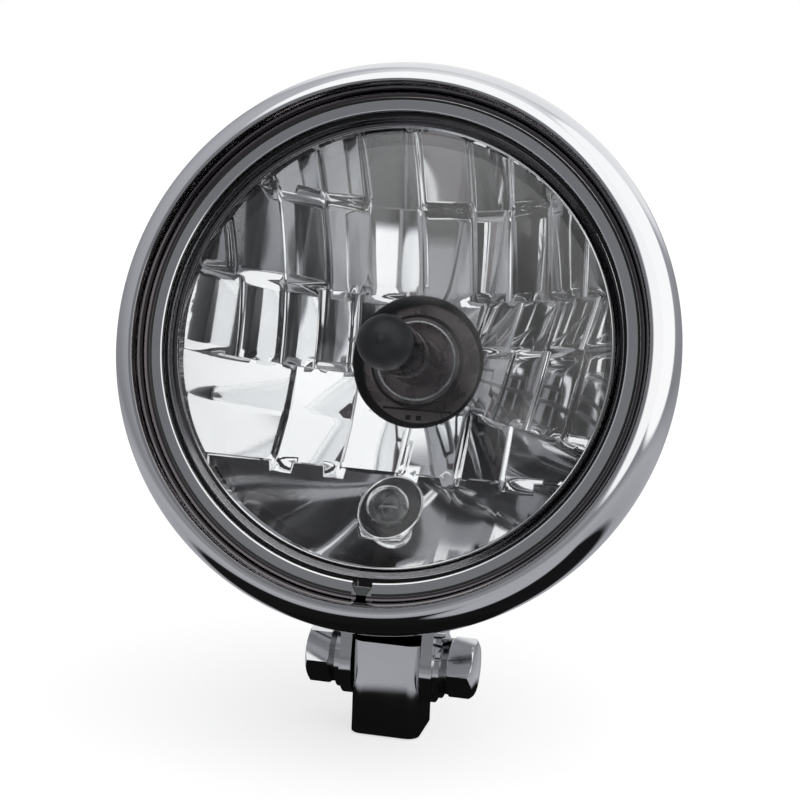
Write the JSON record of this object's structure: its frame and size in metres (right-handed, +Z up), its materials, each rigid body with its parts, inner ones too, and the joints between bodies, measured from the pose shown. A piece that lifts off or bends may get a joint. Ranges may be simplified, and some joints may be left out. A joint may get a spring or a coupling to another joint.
{
  "type": "motorcycle headlight",
  "caption": "Round chromed motorcycle headlight with a domed glass, a faceted reflector and a bottom mount that tilts on side bolts.",
  "frame": {"origin": "centre of the mouth of the tapped hole in the underside of the mounting block", "axes": "+Z up the block along the tapped hole, the lamp faces -Y and is tilted upward, X lies along the two bolts with the onlooker's right at +X seen from the front"},
  "size_m": [0.174, 0.1427, 0.2117],
  "materials": {
    "chrome_shell": "mirror polished chrome plating",
    "chrome_ring": "mirror polished chrome plating",
    "chrome_block": "polished chrome plating",
    "chrome_bolts": "bright chrome plating",
    "lens_glass": "clear, smooth",
    "bulb_glass": "clear, smooth",
    "bulb_cap": "glossy black paint",
    "bulb_metal": "heat tinted",
    "filament": "matt tungsten",
    "contact_brass": "tinned brass",
    "reflector_coat": "vacuum metallised",
    "rubber": "matt",
    "plug_plastic": "fine matt",
    "holder_plastic": "fine matt",
    "spring_steel": "bright spring steel",
    "plated_steel": "zinc plated"
  },
  "bodies": {
    "mount": {"mount_block": "chrome_block", "bolt_left": "chrome_bolts", "bolt_right": "chrome_bolts", "spring_washer_left": "plated_steel", "spring_washer_right": "plated_steel", "flat_washer_left": "chrome_bolts", "flat_washer_right": "chrome_bolts"},
    "lamp": {"bucket": "chrome_shell", "trim_ring": "chrome_ring", "lens_glass": "lens_glass", "lens_seal": "rubber", "reflector": "reflector_coat", "clip_1": "spring_steel", "clip_2": "spring_steel", "clip_3": "spring_steel", "clip_4": "spring_steel", "bulb_glass": "bulb_glass", "bulb_cap": "bulb_cap", "bulb_base": "bulb_metal", "bulb_filaments": "filament", "bulb_shield": "bulb_metal", "bulb_contacts": "contact_brass", "bulb_bail": "spring_steel", "rubber_boot": "rubber", "plug": "plug_plastic", "side_bulb": "bulb_glass", "side_filament": "filament", "side_holder": "holder_plastic", "ring_screw": "plated_steel", "ring_nut": "plated_steel", "cable_grommet": "rubber", "bracket": "chrome_shell"}
  },
  "joints": [
    {"name": "tilt", "type": "hinge", "parent": "mount", "child": "lamp", "pos_m": [0, 0, 0.022], "axis": [1, 0, 0], "range_deg": [-5.3, 37.7]}
  ]
}
